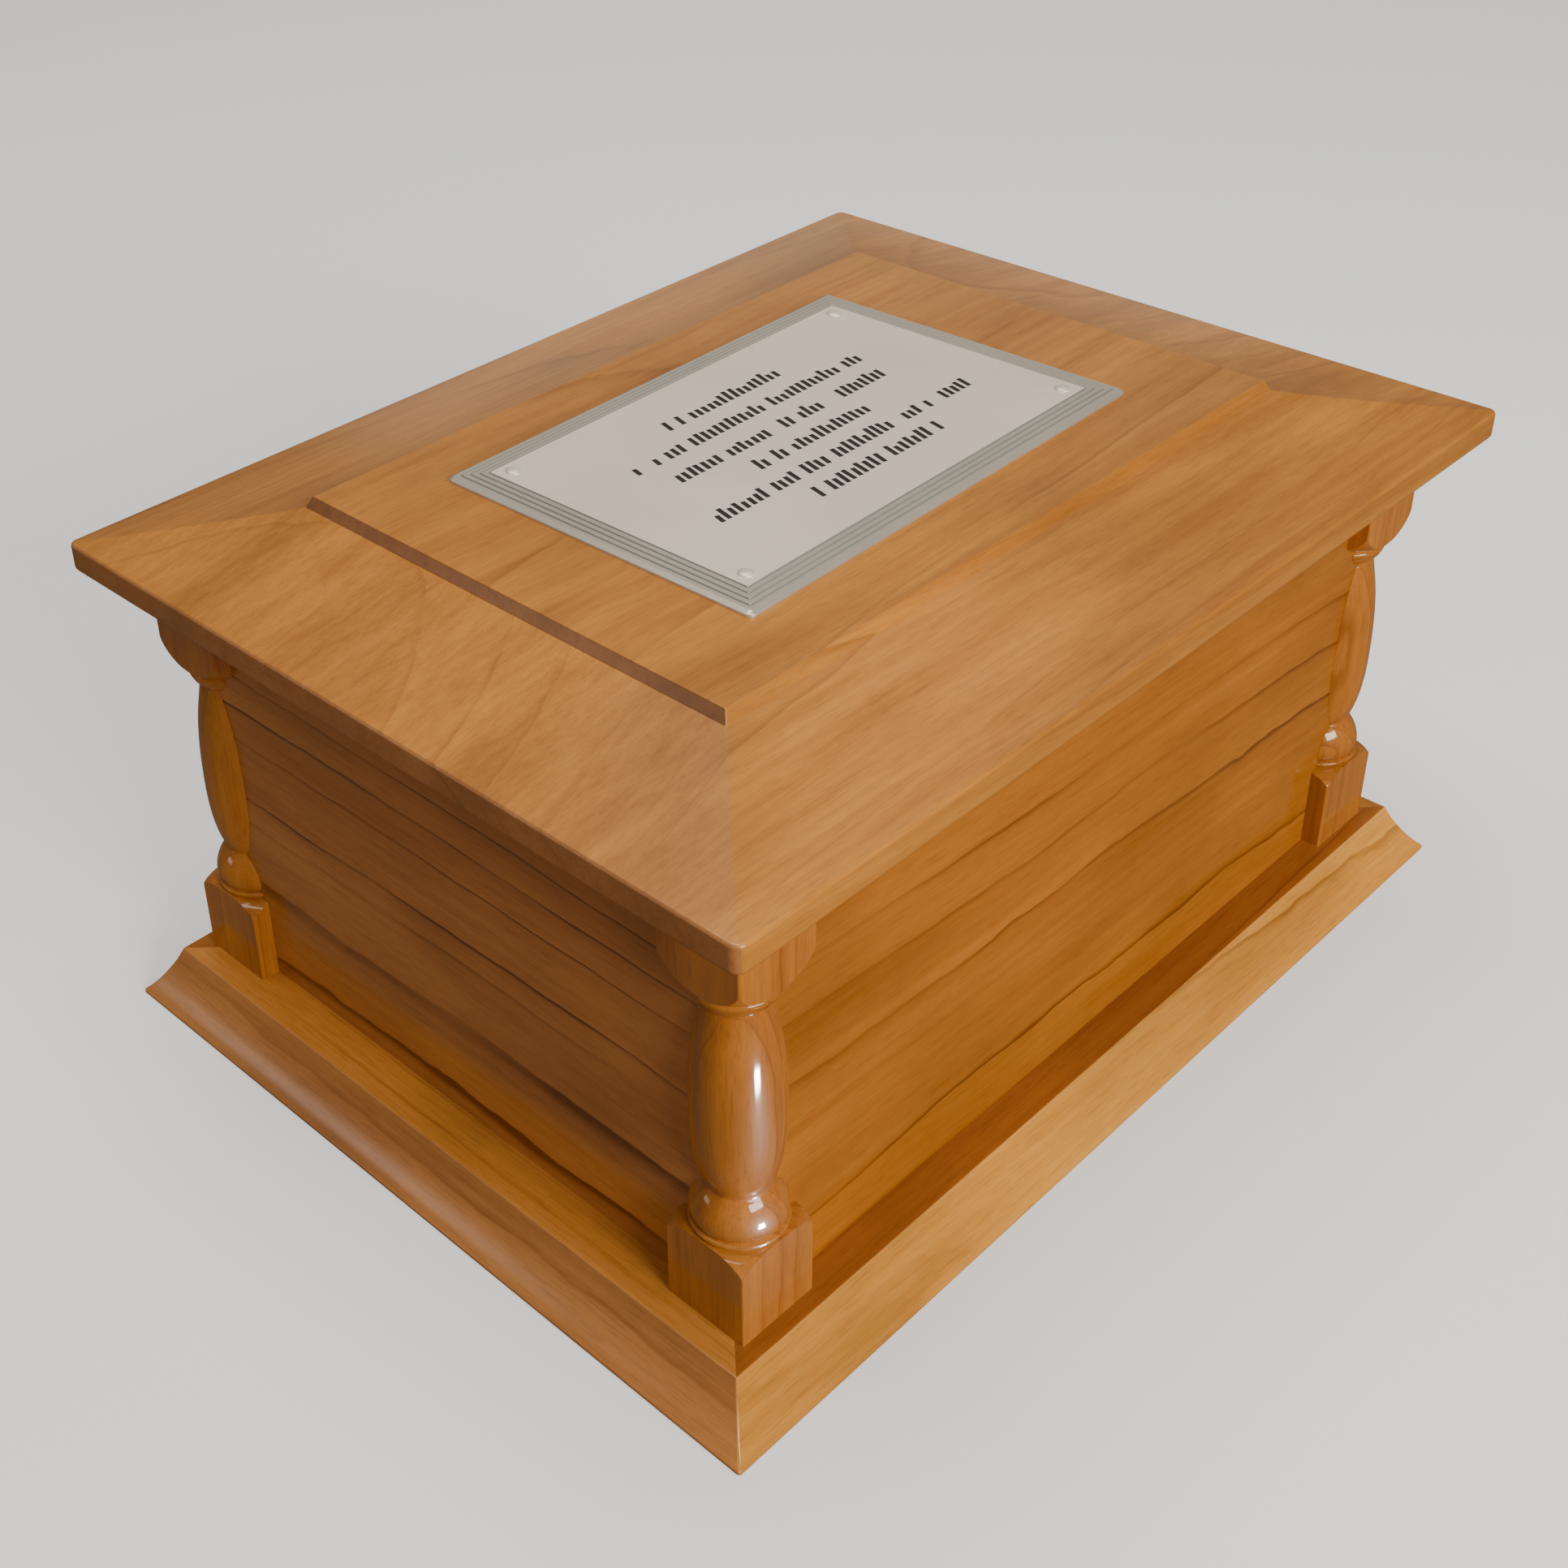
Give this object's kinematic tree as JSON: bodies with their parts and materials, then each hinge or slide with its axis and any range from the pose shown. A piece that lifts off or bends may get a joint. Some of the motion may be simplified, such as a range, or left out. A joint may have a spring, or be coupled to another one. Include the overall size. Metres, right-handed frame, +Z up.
{
  "type": "cremation urn box",
  "caption": "Rectangular wooden ash box with a flared base, turned corner columns, a lift-off lid with a raised field, and a metal plaque.",
  "frame": {"origin": "middle of the underside", "axes": "+Z up, +X along the long side towards the right end, -Y towards the front"},
  "size_m": [0.265, 0.202, 0.1404],
  "materials": {
    "varnished_wood": "satin gloss lacquer on golden brown wood",
    "turned_wood": "gloss lacquer on turned golden brown wood",
    "lid_wood": "satin lacquer on golden brown wood",
    "plaque_metal": "satin, pale warm grey",
    "pin_metal": "polished"
  },
  "bodies": {
    "root": {"base_board": "varnished_wood", "front_wall": "varnished_wood", "back_wall": "varnished_wood", "left_wall": "varnished_wood", "right_wall": "varnished_wood", "front_left_column": "turned_wood", "front_right_column": "turned_wood", "back_left_column": "turned_wood", "back_right_column": "turned_wood", "lid": "lid_wood", "plaque": "plaque_metal", "plaque_pin_front_left": "pin_metal", "plaque_pin_front_right": "pin_metal", "plaque_pin_back_left": "pin_metal", "plaque_pin_back_right": "pin_metal"}
  },
  "joints": []
}
